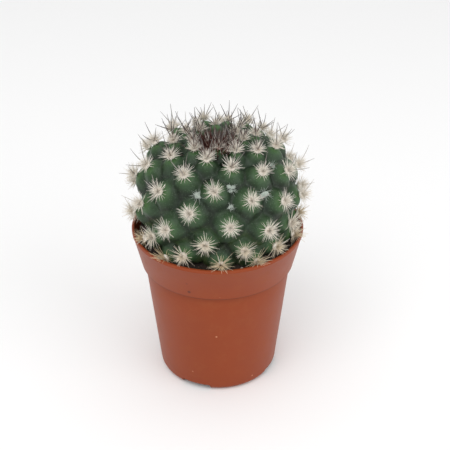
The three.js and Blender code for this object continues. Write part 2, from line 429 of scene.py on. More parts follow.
def moulded_polypropylene(settings):
    """Injection-moulded polypropylene, coloured through: satin, faintly mottled, with a dusty film,
    a few dark specks and pale scuffs from handling."""
    material, tree = new_material("moulded_polypropylene")
    place = add_node(tree, "ShaderNodeTexCoord").outputs["Object"]
    clouds = {"Vector": place, "Scale": 1 / (9 * MM), "Detail": 4.0, "Roughness": 0.6}
    mottle = add_node(tree, "ShaderNodeTexNoise", clouds).outputs["Fac"]
    stops = ((0.3, grey(0)), (0.75, grey(1)))
    mottle = add_node(tree, "ShaderNodeValToRGB", {"Fac": mottle}, stops).outputs["Color"]
    deep = mixed(settings.colour, linear("#6E2E1E"), 0.12)
    mix = {"Factor": mottle, "A": rgba(deep), "B": rgba(settings.colour)}
    base = add_node(tree, "ShaderNodeMix", mix, data_type="RGBA").outputs["Result"]
    # Dust lies in patches.
    patches = {"Vector": place, "Scale": 1 / (4 * MM), "Detail": 8.0, "Roughness": 0.7}
    dust = add_node(tree, "ShaderNodeTexNoise", patches).outputs["Fac"]
    stops = ((0.5, grey(0)), (0.85, grey(0.3)))
    dust = add_node(tree, "ShaderNodeValToRGB", {"Fac": dust}, stops).outputs["Color"]
    mix = {"Factor": dust, "A": base, "B": rgba(settings.dust)}
    base = add_node(tree, "ShaderNodeMix", mix, data_type="RGBA").outputs["Result"]
    for size, width, colour in ((11, 0.035, "#4A2218"), (7, 0.03, "#C98E6C")):
        cells = {"Vector": place, "Scale": 1 / (size * MM), "Randomness": 1.0}
        spots = add_node(tree, "ShaderNodeTexVoronoi", cells).outputs["Distance"]
        stops = ((width, grey(0.8)), (width * 1.8, grey(0)))
        spots = add_node(tree, "ShaderNodeValToRGB", {"Fac": spots}, stops).outputs["Color"]
        mix = {"Factor": spots, "A": base, "B": rgba(linear(colour))}
        base = add_node(tree, "ShaderNodeMix", mix, data_type="RGBA").outputs["Result"]
    # Painted shade: a dark band is painted round the crease under the collar.
    height = add_node(tree, "ShaderNodeSeparateXYZ", {"Vector": place}).outputs["Z"]
    crease_shade = {0: height, 1: POT_HIGH.z - settings.collar_height}
    crease_shade = add_node(tree, "ShaderNodeMath", crease_shade, operation="SUBTRACT").outputs["Value"]
    crease_shade = add_node(tree, "ShaderNodeMath", {0: crease_shade}, operation="ABSOLUTE").outputs["Value"]
    fall = {"From Min": 0.15 * MM, "From Max": 0.5 * MM, "To Min": 0.55, "To Max": 0.0}
    crease_shade = add_node(tree, "ShaderNodeMapRange", {"Value": crease_shade, **fall}).outputs["Result"]
    mix = {"Factor": crease_shade, "A": base, "B": rgba(linear("#2E140C"))}
    base = add_node(tree, "ShaderNodeMix", mix, data_type="RGBA").outputs["Result"]
    spread = {"Value": dust, "From Max": 0.45, "To Min": 0.42, "To Max": 0.62}
    rough = add_node(tree, "ShaderNodeMapRange", spread).outputs["Result"]
    fine = {"Vector": place, "Scale": 1 / (0.5 * MM), "Detail": 3.0}
    grain = add_node(tree, "ShaderNodeTexNoise", fine).outputs["Fac"]
    relief = {"Height": grain, "Strength": 0.12, "Distance": 0.06 * MM}
    bump = add_node(tree, "ShaderNodeBump", relief).outputs["Normal"]
    finish = {"Base Color": base, "Roughness": rough, "Normal": bump}
    finish |= {"IOR": 1.49, "Specular IOR Level": 0.25}
    shader = add_node(tree, "ShaderNodeBsdfPrincipled", finish).outputs["BSDF"]
    add_node(tree, "ShaderNodeOutputMaterial", {"Surface": shader})
    return material


def cactus_skin(settings):
    """Living cactus skin: waxy and satin, with a painted highlight brighter at the tips and painted shade
    dark in the axils, with a pale bloom in patches and fine paler pores."""
    material, tree = new_material("waxy_cactus_skin")
    place = add_node(tree, "ShaderNodeTexCoord").outputs["Object"]
    growth = add_node(tree, "ShaderNodeAttribute", attribute_name="growth").outputs["Color"]
    parts = add_node(tree, "ShaderNodeSeparateColor", {"Color": growth}).outputs
    # Painted highlight and painted shade: the skin is painted lighter towards each areole and darker away
    # from it.
    stops = (
        (0.05, rgba(mixed(settings.axil, settings.skin, 0.5))),
        (0.42, rgba(settings.skin)),
        (0.85, rgba(settings.tip)),
    )
    base = add_node(tree, "ShaderNodeValToRGB", {"Fac": parts["Red"]}, stops).outputs["Color"]
    # Old tubercles low on the stem are browner.
    mix = {"Factor": parts["Blue"], "A": base, "B": rgba(linear("#4C5A34"))}
    base = add_node(tree, "ShaderNodeMix", mix, data_type="RGBA").outputs["Result"]
    # Painted shade: the hollows between tubercles are painted in the dark axil colour.
    mix = {"Factor": parts["Green"], "A": rgba(settings.axil), "B": base}
    base = add_node(tree, "ShaderNodeMix", mix, data_type="RGBA").outputs["Result"]
    clouds = {"Vector": place, "Scale": 1 / (5 * MM), "Detail": 6.0, "Roughness": 0.65}
    patches = add_node(tree, "ShaderNodeTexNoise", clouds).outputs["Fac"]
    stops = ((0.45, grey(0)), (0.8, grey(0.4)))
    patches = add_node(tree, "ShaderNodeValToRGB", {"Fac": patches}, stops).outputs["Color"]
    mix = {"Factor": patches, "A": base, "B": rgba(settings.bloom)}
    base = add_node(tree, "ShaderNodeMix", mix, data_type="RGBA").outputs["Result"]
    cells = {"Vector": place, "Scale": 1 / (0.55 * MM), "Randomness": 1.0}
    pores = add_node(tree, "ShaderNodeTexVoronoi", cells).outputs["Distance"]
    stops = ((0.12, grey(0.12)), (0.3, grey(0)))
    dots = add_node(tree, "ShaderNodeValToRGB", {"Fac": pores}, stops).outputs["Color"]
    mix = {"Factor": dots, "A": base, "B": rgba(linear("#8FB08C"))}
    base = add_node(tree, "ShaderNodeMix", mix, data_type="RGBA").outputs["Result"]
    spread = {"Value": patches, "From Max": 0.55, "To Min": 0.42, "To Max": 0.6}
    rough = add_node(tree, "ShaderNodeMapRange", spread).outputs["Result"]
    relief = {"Height": pores, "Strength": 0.25, "Distance": 0.05 * MM}
    bump = add_node(tree, "ShaderNodeBump", relief).outputs["Normal"]
    finish = {"Base Color": base, "Roughness": rough, "Normal": bump}
    finish |= {"IOR": 1.42, "Specular IOR Level": 0.35}
    shader = add_node(tree, "ShaderNodeBsdfPrincipled", finish).outputs["BSDF"]
    add_node(tree, "ShaderNodeOutputMaterial", {"Surface": shader})
    return material


def tinted(name, clouds, stops, bump, finish):
    """A material whose pieces carry their own tint. The settings given are those of its noise, the
    stops by which the noise shades the tint, the bump that the noise gives, and the finish."""
    material, tree = new_material(name)
    place = add_node(tree, "ShaderNodeTexCoord").outputs["Object"]
    tint = add_node(tree, "ShaderNodeAttribute", attribute_name="tint").outputs["Color"]
    lumps = add_node(tree, "ShaderNodeTexNoise", {"Vector": place, **clouds}).outputs["Fac"]
    if stops:
        shade = add_node(tree, "ShaderNodeValToRGB", {"Fac": lumps}, stops).outputs["Color"]
        mix = {"Factor": 1.0, "A": tint, "B": shade}
        mix = add_node(tree, "ShaderNodeMix", mix, data_type="RGBA", blend_type="MULTIPLY")
        tint = mix.outputs["Result"]
    finish = {"Base Color": tint, **finish}
    if bump:
        relief = add_node(tree, "ShaderNodeBump", {"Height": lumps, **bump})
        finish["Normal"] = relief.outputs["Normal"]
    shader = add_node(tree, "ShaderNodeBsdfPrincipled", finish).outputs["BSDF"]
    add_node(tree, "ShaderNodeOutputMaterial", {"Surface": shader})
    return material


def spine_horn():
    """Cactus spines: dry, dense plant fibre with a horny, faintly glossy surface, tinted along each."""
    streaks = {"Scale": 1 / (0.7 * MM), "Detail": 2.0}
    stops = ((0.3, grey(0.8)), (0.7, grey(1)))
    return tinted("horny_spines", streaks, stops, {}, {"Roughness": 0.5, "IOR": 1.5})


def plant_wool():
    """Axil wool: fine matted plant hairs, soft and matt, pale with a cool cast."""
    hairs = {"Scale": 1 / (0.3 * MM), "Detail": 5.0}
    stops = ((0.3, grey(0.72)), (0.7, grey(1)))
    bump = {"Strength": 0.6, "Distance": 0.15 * MM}
    return tinted("matted_plant_wool", hairs, stops, bump, {"Roughness": 0.9, "Sheen Weight": 0.4})


def crumbled_peat():
    """Potting peat: dark, dry and crumbly, quite matt, with browner and greyer crumbs."""
    crumbs = {"Scale": 1 / (0.9 * MM), "Detail": 8.0, "Roughness": 0.7}
    stops = ((0.35, grey(0.45)), (0.7, grey(1.25)))
    bump = {"Strength": 0.9, "Distance": 0.4 * MM}
    return tinted("crumbled_peat", crumbs, stops, bump, {"Roughness": 0.95})


def expanded_perlite():
    """Perlite: white expanded volcanic glass, matt and finely pitted."""
    pits = {"Scale": 1 / (0.25 * MM), "Detail": 3.0}
    bump = {"Strength": 0.5, "Distance": 0.1 * MM}
    return tinted("expanded_perlite", pits, (), bump, {"Roughness": 0.85})


def studio_paper(settings):
    """Background paper: plain, pale and matt."""
    material, tree = new_material("studio_paper")
    finish = {"Base Color": rgba(settings.floor), "Roughness": 0.9}
    shader = add_node(tree, "ShaderNodeBsdfPrincipled", finish).outputs["BSDF"]
    add_node(tree, "ShaderNodeOutputMaterial", {"Surface": shader})
    return material


# ------------------------------------------------------------------ pot


# The first drain notch is a little to the left of the front, in degrees.
FIRST_NOTCH = -22
# The gap between the soil and the pot, all round.
SOIL_GAP = 0.3 * MM


class CACTUS_OT_pot(bpy.types.Operator):
    """Models the moulded pot: its profile is drawn up ring by ring, and the drain notches are cut"""

    bl_idname = "cactus.pot"
    bl_label = "Pot"
    bl_options = {"REGISTER", "UNDO"}

    def execute(self, context):
        settings = context.scene.cactus_pot
        top = POT_HIGH.z
        rim = (POT_HIGH.x - POT_LOW.x) / 2
        neck_z = top - settings.collar_height
        neck, foot, wall = settings.neck_radius, settings.foot_radius, settings.wall
        curve, edge, step = settings.foot_round, 0.3 * MM, settings.collar_step
        corner = edge * 0.3
        floor = SOIL_LOW.z - SOIL_GAP
        bead = top - settings.bead_height

        profile = []
        for angle in (0, 15, 30, 45, 60, 75, 90):
            turn = math.radians(angle)
            profile.append((foot - curve * (1 - math.sin(turn)), curve * (1 - math.cos(turn))))
        for share in (0.25, 0.5, 0.75):
            profile.append((foot + (neck - foot) * share, curve + (neck_z - curve) * share))
        profile += [
            (neck - 0.05 * MM, neck_z - 0.4 * MM),
            (neck - 0.1 * MM, neck_z - 0.05 * MM),
            (neck + step * 0.75, neck_z),
            (neck + step * 0.95, neck_z + 0.12 * MM),
            (neck + step, neck_z + 0.35 * MM),
            (rim - 0.2 * MM, bead - 0.1 * MM),
            (rim - 0.02 * MM, bead + 0.1 * MM),
            (rim, top - edge),
            (rim - corner, top - corner),
            (rim - edge, top),
            (rim - wall + edge, top),
            (rim - wall + corner, top - corner),
            (rim - wall, top - edge),
            (neck - wall, neck_z),
            (foot - wall + 0.1 * MM, floor + 1 * MM),
            (foot - wall - 1 * MM, floor),
        ]
        pot = turned(profile, 144)
        self.cut_notches(pot, settings, foot)
        select_only(pot)
        bpy.ops.object.shade_smooth_by_angle(angle=math.radians(32))
        finish_piece(pot, "moulded_pot", moulded_polypropylene(settings), ("pot",))
        return {"FINISHED"}

    def cut_notches(self, pot, settings, foot):
        for quarter in range(4):
            turn = math.radians(FIRST_NOTCH + 90 * quarter)
            select_only()
            bpy.ops.mesh.primitive_cube_add(size=1)
            cutter = bpy.context.object
            cutter.scale = (settings.notch_width, settings.notch_reach * 2, settings.notch_height * 2)
            settle(cutter)
            apply_modifier(cutter, "BEVEL", width=0.35 * MM, segments=2)
            cutter.location = (foot * math.sin(turn), -foot * math.cos(turn), 0)
            cutter.rotation_euler = (0, 0, turn)
            settle(cutter)
            apply_modifier(pot, "BOOLEAN", operation="DIFFERENCE", object=cutter, solver="EXACT")
            remove(cutter)


# ------------------------------------------------------------------ soil


def lump_shape(subdivisions, seed, flatness):
    """A rough lump: its points and faces, about one unit across."""
    select_only()
    bpy.ops.mesh.primitive_ico_sphere_add(subdivisions=subdivisions, radius=0.5)
    lump = bpy.context.object
    edit(lump)
    bpy.ops.mesh.select_all(action="SELECT")
    bpy.ops.transform.vertex_random(offset=0.14, uniform=0.6, seed=seed)
    bpy.ops.transform.resize(value=(1.15, 0.85, flatness))
    bpy.ops.object.mode_set(mode="OBJECT")
    return taken(lump)


def turned_randomly(points, draw):
    axis = Vector([draw.uniform(-1, 1) for _ in range(3)]).normalized()
    turn = np.array(Matrix.Rotation(draw.uniform(0, math.tau), 3, axis))
    return points @ turn.T


def soil_height(x, y):
    """The soil's uneven surface."""
    low = noise.noise(Vector((x, y, 0)) / (7 * MM)) * 0.7
    fine = noise.noise(Vector((x, y, 5 * MM)) / (1.6 * MM)) * 0.25
    return SOIL_HIGH.z - 0.55 * MM + (low + fine) * MM


class CACTUS_OT_soil(bpy.types.Operator):
    """Models the block of peat, with an uneven top"""

    bl_idname = "cactus.soil"
    bl_label = "Soil"
    bl_options = {"REGISTER", "UNDO"}

    def execute(self, context):
        settings = context.scene.cactus_soil
        pot = context.scene.cactus_pot
        top_radius = (SOIL_HIGH.x - SOIL_LOW.x) / 2
        top = SOIL_HIGH.z - 0.8 * MM
        step = 0.5 * MM
        rings = [
            (pot.foot_radius - pot.wall - SOIL_GAP - 1 * MM, SOIL_LOW.z),
            (pot.neck_radius - pot.wall - SOIL_GAP, POT_HIGH.z - pot.collar_height),
            (top_radius - 0.1 * MM, top),
        ]
        # The top is ringed finely, so that it can be made uneven.
        rings += [(radius, top) for radius in np.arange(top_radius - step, 1 * MM, -step)]
        soil = turned(rings, 120)
        points = points_of(soil.data)
        for point in points:
            if point[2] > SOIL_HIGH.z - 1 * MM:
                point[2] = soil_height(point[0], point[1])
        soil.data.vertices.foreach_set("co", points.ravel())
        tint = soil.data.color_attributes.new("tint", "FLOAT_COLOR", "POINT")
        tint.data.foreach_set("color", rgba(settings.peat) * len(points))
        soil.data.update()
        soil.data.shade_smooth()
        finish_piece(soil, "peat_block", crumbled_peat(), ("soil",))
        return {"FINISHED"}


class CACTUS_OT_crumbs(bpy.types.Operator):
    """Scatters loose crumbs of peat and white grit round the stem"""

    bl_idname = "cactus.crumbs"
    bl_label = "Crumbs and grit"
    bl_options = {"REGISTER", "UNDO"}

    def execute(self, context):
        settings = context.scene.cactus_soil
        draw = random.Random(11)
        shapes = [lump_shape(1, seed, 0.7) for seed in range(4)]
        outer = (SOIL_HIGH.x - SOIL_LOW.x) / 2
        crumbs = Gathering()
        for _ in range(settings.crumbs):
            size = settings.crumb_size * (0.3 + 0.7 * draw.random() ** 3)
            other = linear(draw.choice(("#1D1613", "#5A4434", "#4A4440")))
            colour = mixed(settings.peat, other, draw.random())
            self.drop(crumbs, draw, draw.choice(shapes), size, colour, outer)
        piece = crumbs.build("peat_crumbs")
        finish_piece(piece, "peat_crumbs", bpy.data.materials["crumbled_peat"])
        grit_shapes = [lump_shape(2, seed, 0.8) for seed in range(8, 11)]
        grit = Gathering()
        for _ in range(settings.grains):
            size = draw.uniform(0.5, 1.1) * MM
            colour = mixed(settings.grit, linear("#A08A72"), draw.random() * 0.5)
            self.drop(grit, draw, draw.choice(grit_shapes), size, colour, outer)
        piece = grit.build("white_grit")
        finish_piece(piece, "white_grit", expanded_perlite())
        return {"FINISHED"}

    def drop(self, gathering, draw, shape, size, colour, outer):
        points, faces = shape
        turn = draw.uniform(0, math.tau)
        radius = outer * math.sqrt(draw.uniform(0.5, 1)) - size / 2 - 0.1 * MM
        x, y = radius * math.sin(turn), radius * math.cos(turn)
        place = np.array([x, y, soil_height(x, y) + size * 0.15])
        gathering.add(
            turned_randomly(points, draw) * size + place, faces, np.tile(colour, (len(points), 1))
        )


# ------------------------------------------------------------------ stem

# How deep the tip of the skin is under the middle of an areole's pad.
SKIN_DEPTH = 0.55 * MM
# The stem's body, from the foot up: radius and height over the rim, in millimetres.
BODY_RINGS = (
    (8, -9),
    (15.5, -6),
    (19.5, 0),
    (21.4, 6),
    (21.8, 12),
    (20.8, 17),
    (18.4, 21),
    (14.5, 24),
    (10.5, 25.2),
    (6, 25),
    (4.4, 23.4),
    (1.5, 22.8),
)


def tubercle_shape():
    """One tubercle, modelled as a four-sided pyramid rounded off: its base is one unit wide and its
    tip, on which the areole sits, is at the origin."""
    select_only()
    bpy.ops.mesh.primitive_cone_add(
        vertices=8, radius1=0.66, radius2=0.22, depth=1, end_fill_type="NGON", location=(0, 0, -0.5)
    )
    cone = bpy.context.object
    settle(cone)
    edit(cone)
    pick(cone, "edges", lambda line: upright(cone, line))
    bpy.ops.mesh.subdivide(number_cuts=2)
    pick(cone, "vertices", lambda dot: -0.9 < dot.co.z < -0.1)
    bpy.ops.transform.resize(value=(1.08, 1.08, 1), center_override=(0, 0, 0))
    # The four lines between the keels are drawn in.
    pick(cone, "vertices", lambda dot: min(abs(dot.co.x), abs(dot.co.y)) > 0.1 and dot.co.z < -0.1)
    bpy.ops.transform.resize(value=(0.84, 0.84, 1), center_override=(0, 0, 0))
    bpy.ops.object.mode_set(mode="OBJECT")
    apply_modifier(cone, "SUBSURF", levels=2, render_levels=2)
    return taken(cone)


def upright(piece, line):
    """Whether an edge climbs the side of a cone one unit high."""
    low, high = (piece.data.vertices[i].co.z for i in line.vertices)
    return abs(high - low) > 0.5


class CACTUS_OT_stem(bpy.types.Operator):
    """Models the stem: a body with a tubercle under each areole, grown into one skin"""

    bl_idname = "cactus.stem"
    bl_label = "Stem"
    bl_options = {"REGISTER", "UNDO"}

    def execute(self, context):
        settings = context.scene.cactus_stem
        draw = random.Random(5)
        skin = Gathering()
        body_points, body_faces = self.body_shape()
        skin.add(body_points, body_faces, np.zeros((len(body_points), 3)))
        points, faces = tubercle_shape()
        for areole in AREOLES:
            width = areole.spacing * settings.tubercle_width * draw.uniform(0.97, 1.03)
            height = settings.tubercle_height * (0.55 + 0.45 * smooth(0, 0.35, areole.age))
            shaped = points * np.array([width, width, height])
            seat = np.array(areole.frame())
            shaped = shaped @ seat[:3, :3].T + seat[:3, 3] - np.array(areole.axis) * SKIN_DEPTH
            skin.add(shaped, faces, np.zeros((len(points), 3)))
        stem = skin.build("stem_skin")
        apply_modifier(stem, "REMESH", mode="VOXEL", voxel_size=settings.grain, use_smooth_shade=True)
        apply_modifier(stem, "SMOOTH", factor=0.5, iterations=9)
        self.mark_growth_and_shading(stem)
        self.roughen(stem)
        stem.data.shade_smooth()
        finish_piece(stem, "green_stem", cactus_skin(settings), ("stem",))
        return {"FINISHED"}

    def body_shape(self):
        """The body under the tubercles, drawn up ring by ring and pressed in at the crown."""
        rings = [(radius * MM, POT_HIGH.z + rise * MM) for radius, rise in BODY_RINGS]
        points, faces = taken(turned(rings, 48))
        points[:, 1] += CROWN_BACK * (points[:, 2] - POT_HIGH.z) / CROWN_RISE
        return points, faces

    def mark_growth_and_shading(self, stem):
        """Stores at each point: nearness to an areole and distance from the axils, which the skin's
        painted highlight and painted shade follow, and age.
        """
        tree = KDTree(len(AREOLES))
        for index, areole in enumerate(AREOLES):
            tree.insert(areole.place, index)
        tree.balance()
        values = []
        for vertex in stem.data.vertices:
            (_, index, near), (_, _, next_near) = tree.find_n(vertex.co, 2)
            areole = AREOLES[index]
            closeness = 1 - near / (areole.spacing * 0.62)
            patchy = 0.3 + 0.5 * noise.noise(vertex.co / (5 * MM))
            ridge = smooth(-0.12, max(patchy, 0.02), (next_near - near) / areole.spacing)
            old = smooth(0.62, 1.0, areole.age) * smooth(0.35, 0.1, closeness)
            values += [max(closeness, 0), ridge, old * 0.6, 1]
        growth = stem.data.color_attributes.new("growth", "FLOAT_COLOR", "POINT")
        growth.data.foreach_set("color", values)

    def roughen(self, stem):
        """Gives the skin its slight unevenness."""
        points = points_of(stem.data)
        normals = np.empty(points.size)
        stem.data.vertices.foreach_get("normal", normals)
        normals = normals.reshape(-1, 3)
        for index, point in enumerate(points):
            low = noise.noise(Vector(point) / (3 * MM)) * 0.16
            fine = noise.noise(Vector(point) / (1 * MM)) * 0.05
            points[index] = point + normals[index] * (low + fine) * MM
        stem.data.vertices.foreach_set("co", points.ravel())
        stem.data.update()


# ------------------------------------------------------------------ spines and wool


def spine_shape(sides=5, cuts=3):
    """A straight spine of unit length along Z and unit root radius: its points and faces."""
    select_only()
    bpy.ops.mesh.primitive_cone_add(
        vertices=sides, radius1=1, radius2=0.22, depth=1, end_fill_type="NGON", location=(0, 0, 0.5)
    )
    cone = bpy.context.object
    settle(cone)
    edit(cone)
    pick(cone, "edges", lambda line: upright(cone, line))
    bpy.ops.mesh.subdivide(number_cuts=cuts)
    bpy.ops.object.mode_set(mode="OBJECT")
    return taken(cone)


def clear_of_pot(root, way, length, bend):
    """Turns a spine that would run into the pot's wall: over the rim if it starts near it."""
    tip = root + way * length + bend
    inside = (POT_HIGH.x - POT_LOW.x) / 2 - 1.6 * MM
    over = POT_HIGH.z + 0.5 * MM
    if tip.xy.length < inside or tip.z > over:
        return way, length, bend
    if root.z > POT_HIGH.z - 2.4 * MM and tip.xy.length > inside + 0.8 * MM:
        tip.z = over + (over - tip.z) * 0.25
    else:
        tip.xy *= inside / tip.xy.length
        tip.z = max(tip.z, SOIL_HIGH.z)
    return (tip - root).normalized(), (tip - root).length, bend * 0


def add_spine(gathering, shape, root, way, length, width, bend, colours):
    """Adds one spine: bend is the sideways shift of its tip, colours are at root, middle and tip."""
    points, faces = shape
    way, length, bend = clear_of_pot(root, way.normalized(), length, bend)
    across = way.orthogonal().normalized()
    other = way.cross(across)
    along = points[:, 2:3]
    radius = width / 2
    placed = (
        np.array(root)
        + along * length * np.array(way)
        + along**2 * np.array(bend)
        + points[:, 0:1] * radius * np.array(across)
        + points[:, 1:2] * radius * np.array(other)
    )
    low, middle, high = (np.array(colour) for colour in colours)
    lower = np.clip(along * 3, 0, 1)
    upper = np.clip((along - 0.45) / 0.55, 0, 1)
    tint = low * (1 - lower) + middle * lower
    gathering.add(placed, faces, tint * (1 - upper) + high * upper)


def pad_shape():
    """The woolly pad: a flattened, lumpy dome of unit radius."""
    select_only()
    bpy.ops.mesh.primitive_uv_sphere_add(segments=14, ring_count=8, radius=1)
    pad = bpy.context.object
    edit(pad)
    bpy.ops.mesh.select_all(action="SELECT")
    bpy.ops.transform.resize(value=(1, 1, 0.55))
    bpy.ops.transform.vertex_random(offset=0.05, uniform=1, seed=3)
    bpy.ops.object.mode_set(mode="OBJECT")
    return taken(pad)


# The rings of a star: the share of its spines, how far they rise in degrees, and their length.
RADIAL_RINGS = ((1, 10, 1), (1, 30, 0.95), (0.8, 50, 0.85), (0.5, 68, 0.75), (0.3, 84, 0.65))


class CACTUS_OT_spine_clusters(bpy.types.Operator):
    """Models each areole with its woolly pad, its star of pale spines and its dark central spines"""

    bl_idname = "cactus.spine_clusters"
    bl_label = "Spine clusters"
    bl_options = {"REGISTER", "UNDO"}

    def execute(self, context):
        settings = context.scene.cactus_spines
        material = spine_horn()
        spine = spine_shape()
        pad = pad_shape()
        for number, areole in enumerate(AREOLES, start=1):
            draw = random.Random(100 + number)
            cluster = Gathering()
            seat = self.seated(areole)
            self.add_pad(cluster, pad, seat, settings, draw)
            self.add_radials(cluster, spine, seat, settings, draw)
            self.add_centrals(cluster, spine, seat, settings, draw)
            name = f"areole_{number:02d}"
            replaced = (areole.node or "stem",)
            finish_piece(cluster.build(name), name, material, replaced)
        return {"FINISHED"}

    def seated(self, areole):
        """At the back of the crown an areole sits on its tubercle's far side."""
        away = smooth(5 * MM, 10 * MM, areole.place.y) * (1 - smooth(0.2, 0.35, areole.age))
        outward = Vector((areole.place.x, areole.place.y, 0)).normalized()
        place = areole.place + (outward * 1.8 - Vector((0, 0, 1.3))) * away * MM
        seat = Areole(place, areole.axis.lerp(outward, 0.45 * away), areole.age, areole.node)
        seat.crowding = areole.crowding * (1 - 0.7 * away)
        return seat

    def add_pad(self, cluster, pad, areole, settings, draw):
        points, faces = pad
        size = settings.pad_radius * areole.crowding * draw.uniform(0.9, 1.1)
        seat = np.array(areole.frame(size))
        placed = points @ seat[:3, :3].T + seat[:3, 3]
        colour = mixed(settings.root, settings.white, draw.uniform(0.7, 1))
        colour = mixed(colour, settings.red, self.newness(areole) * 0.7)
        cluster.add(placed, faces, np.tile(colour, (len(points), 1)))

    def newness(self, areole):
        """1 for an areole in the crown's brush, whose spines are still dark."""
        return 1 - smooth(4.5 * MM, 6.8 * MM, (areole.place - BRUSH).xy.length)

    def outward(self, areole, turn, lift):
        flat = areole.side * math.cos(turn) + areole.up * math.sin(turn)
        return flat * math.cos(lift) + areole.axis * math.sin(lift)

    def add_radials(self, cluster, spine, areole, settings, draw):
        """The star: a low outer ring, then rings that stand up more, so that the middle is full."""
        old = smooth(0.6, 1.0, areole.age)
        young = 1 - smooth(0.0, 0.2, areole.age)
        new = self.newness(areole)
        body = mixed(settings.white, settings.yellow, old * draw.uniform(0.2, 0.8))
        length = settings.radial_length * areole.crowding**0.3 * draw.uniform(0.93, 1.05)
        length *= 0.95 + 0.22 * smooth(0.3, 0.9, areole.age) + 0.25 * smooth(0.8, 1, areole.age)
        for ring, (share, lift, part) in enumerate(RADIAL_RINGS):
            number = max(round(settings.radials * share * (1 - 0.4 * old) * (1 - 0.5 * new)), 3)
            for index in range(number):
                turn = math.tau * (index + draw.uniform(-0.4, 0.4)) / number + ring * 0.4
                rise = math.radians(lift + 12 * young + draw.uniform(-11, 11))
                way = self.outward(areole, turn, rise)
                reach = length * part * (1.25 - 0.65 * draw.random() ** 0.8)
                bend = areole.axis * reach * draw.uniform(-0.08, 0.14) + areole.up * reach * 0.06
                tip = mixed(body, linear("#9A7A62"), draw.uniform(0, 0.6) * (1 - ring / 4))
                tip = mixed(tip, settings.red, new * draw.uniform(0, 0.8))
                root = areole.place + way * 0.35 * MM + areole.axis * 0.15 * ring * MM
                colours = (mixed(settings.root, body, ring / 4), body, tip)
                width = settings.radial_width * draw.uniform(0.85, 1.15)
                add_spine(cluster, spine, root, way, reach, width, bend, colours)

    def add_centrals(self, cluster, spine, areole, settings, draw):
        """The long thin dark spines, fewer and paler on the older areoles."""
        young = 1 - smooth(0.1, 0.75, areole.age)
        new = self.newness(areole)
        crown = 1 - smooth(0.15, 0.4, areole.age)
        share = 0.2 + 0.8 * young + 0.3 * crown + 1.3 * new
        count = round(settings.centrals * share * draw.uniform(0.7, 1.2))
        for index in range(count):
            turn = math.tau * (index + draw.uniform(-0.3, 0.3)) / max(count, 1) + 1.3
            way = self.outward(areole, turn, math.radians(draw.uniform(35, 70)))
            front = 1 - smooth(0, 8 * MM, areole.place.y)
            way = way.lerp(Vector((0, 0, 1)), max(0.5 * new, 0.4 * crown * front))
            length = settings.central_length * (0.6 + 0.4 * young) * draw.uniform(0.75, 1.2)
            length *= 1 - 0.35 * crown * (1 - front)
            bend = areole.up * length * draw.uniform(0.05, 0.25) * (1 - new)
            darkness = min(1, 0.35 + 0.9 * young) * draw.uniform(0.8, 1)
            middle = mixed(settings.white, settings.dark, darkness * (0.75 + 0.25 * crown))
            tip = mixed(settings.white, settings.dark, darkness)
            base = mixed(settings.root, settings.red, max(crown * 0.7, new))
            root = areole.place + areole.axis * 0.2 * MM
            colours = (base, middle, tip)
            add_spine(cluster, spine, root, way, length, settings.central_width, bend, colours)


class CACTUS_OT_crown_spines(bpy.types.Operator):
    """Models the dense dark brush of the youngest spines in the sunken crown"""

    bl_idname = "cactus.crown_spines"
    bl_label = "Crown spines"
    bl_options = {"REGISTER", "UNDO"}

    def execute(self, context):
        settings = context.scene.cactus_spines
        draw = random.Random(7)
        spine = spine_shape()
        low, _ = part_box("crown_spines")
        centre = BRUSH + Vector((0, 0, low.z + BRUSH_RISE))
        tuft = Gathering()
        points, faces = pad_shape()
        woolly = mixed(settings.root, settings.red, 0.4)
        dome = points * np.array([BRUSH_RADIUS, BRUSH_RADIUS, BRUSH_DOME]) + np.array(centre)
        tuft.add(dome, faces, np.tile(woolly, (len(points), 1)))
        count = settings.crown_count
        for index in range(count):
            turn = GOLDEN_ANGLE * index + draw.uniform(-0.2, 0.2)
            share = math.sqrt((index + 0.5) / count)
            side = Vector((math.cos(turn), math.sin(turn), 0))
            rise = BRUSH_DOME * 0.5 * (1 - share**2)
            root = centre + side * (BRUSH_RADIUS - 0.3 * MM) * share + Vector((0, 0, rise))
            spread = math.radians(3 + 32 * share + draw.uniform(-12, 12))
            way = side * math.sin(spread) + Vector((0, 0, math.cos(spread)))
            length = (draw.uniform(3.0, 5.2) + 2.2 * (draw.random() < 0.1)) * MM
            bend = side * length * draw.uniform(-0.2, 0.16)
            dark = mixed(settings.dark, settings.red, draw.uniform(0, 0.4))
            pale = draw.random() < 0.22
            colours = (settings.root, settings.white, dark) if pale else (settings.red, dark, dark)
            width = settings.central_width * draw.uniform(0.65, 0.9)
            add_spine(tuft, spine, root, way, length, width, bend, colours)
        piece = tuft.build("crown_brush")
        horn = bpy.data.materials["horny_spines"]
        finish_piece(piece, "crown_brush", horn, ("crown_spines",))
        return {"FINISHED"}


